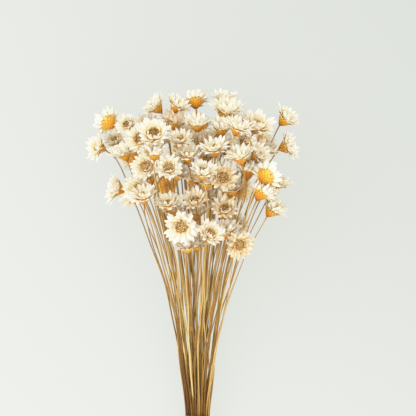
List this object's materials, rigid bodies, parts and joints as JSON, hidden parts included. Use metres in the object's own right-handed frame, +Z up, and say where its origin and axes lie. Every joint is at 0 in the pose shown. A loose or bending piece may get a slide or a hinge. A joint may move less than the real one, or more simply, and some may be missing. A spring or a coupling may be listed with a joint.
{
  "type": "bunch of dried daisies",
  "caption": "Bunch of dried daisies lying on its side: thin straight straw stems with papery white heads on orange cones, gathered by a wound raffia tie.",
  "frame": {"origin": "on the surface that the bunch lies on, under the middle of its bounding box", "axes": "+Y along the bunch from the cut ends to the flowers, +Z up from the surface, +X to the right seen from above"},
  "size_m": [0.1058, 0.297, 0.083],
  "materials": {
    "bracts": "papery cream-white bracts, matt with a faint silky sheen",
    "cone": "orange-ochre scales at the base of the head, satin",
    "disc": "tan grainy florets with brown specks, matt",
    "stem": "golden straw with fine lengthwise ribs, satin",
    "raffia": "fibrous natural raffia, matt"
  },
  "bodies": {
    "root": {"flower_01": "bracts", "flower_02": "bracts", "flower_03": "bracts", "flower_04": "bracts", "flower_05": "bracts", "flower_06": "bracts", "flower_07": "bracts", "flower_08": "bracts", "flower_09": "bracts", "flower_10": "bracts", "flower_11": "bracts", "flower_12": "bracts", "flower_13": "bracts", "flower_14": "bracts", "flower_15": "bracts", "flower_16": "bracts", "flower_17": "bracts", "flower_18": "bracts", "flower_19": "bracts", "flower_20": "bracts", "flower_21": "bracts", "flower_22": "bracts", "flower_23": "bracts", "flower_24": "bracts", "flower_25": "bracts", "flower_26": "bracts", "flower_27": "bracts", "flower_28": "bracts", "flower_29": "bracts", "flower_30": "bracts", "flower_31": "bracts", "flower_32": "bracts", "flower_33": "bracts", "flower_34": "bracts", "flower_pair_01": "bracts", "flower_pair_02": "bracts", "flower_pair_03": "bracts", "flower_pair_04": "bracts", "flower_pair_05": "bracts", "flower_pair_06": "bracts", "flower_pair_07": "bracts", "flower_pair_08": "bracts", "flower_pair_09": "bracts", "flower_pair_10": "bracts", "flower_pair_11": "bracts", "flower_pair_12": "bracts", "flower_pair_13": "bracts", "flower_pair_14": "bracts", "flower_pair_15": "bracts", "flower_pair_16": "bracts", "flower_pair_17": "bracts", "flower_pair_18": "bracts", "flower_pair_19": "bracts", "flower_pair_20": "bracts", "flower_pair_21": "bracts", "flower_pair_22": "bracts", "flower_pair_23": "bracts", "flower_pair_24": "bracts", "flower_pair_25": "bracts", "raffia_tie": "raffia"}
  },
  "joints": []
}
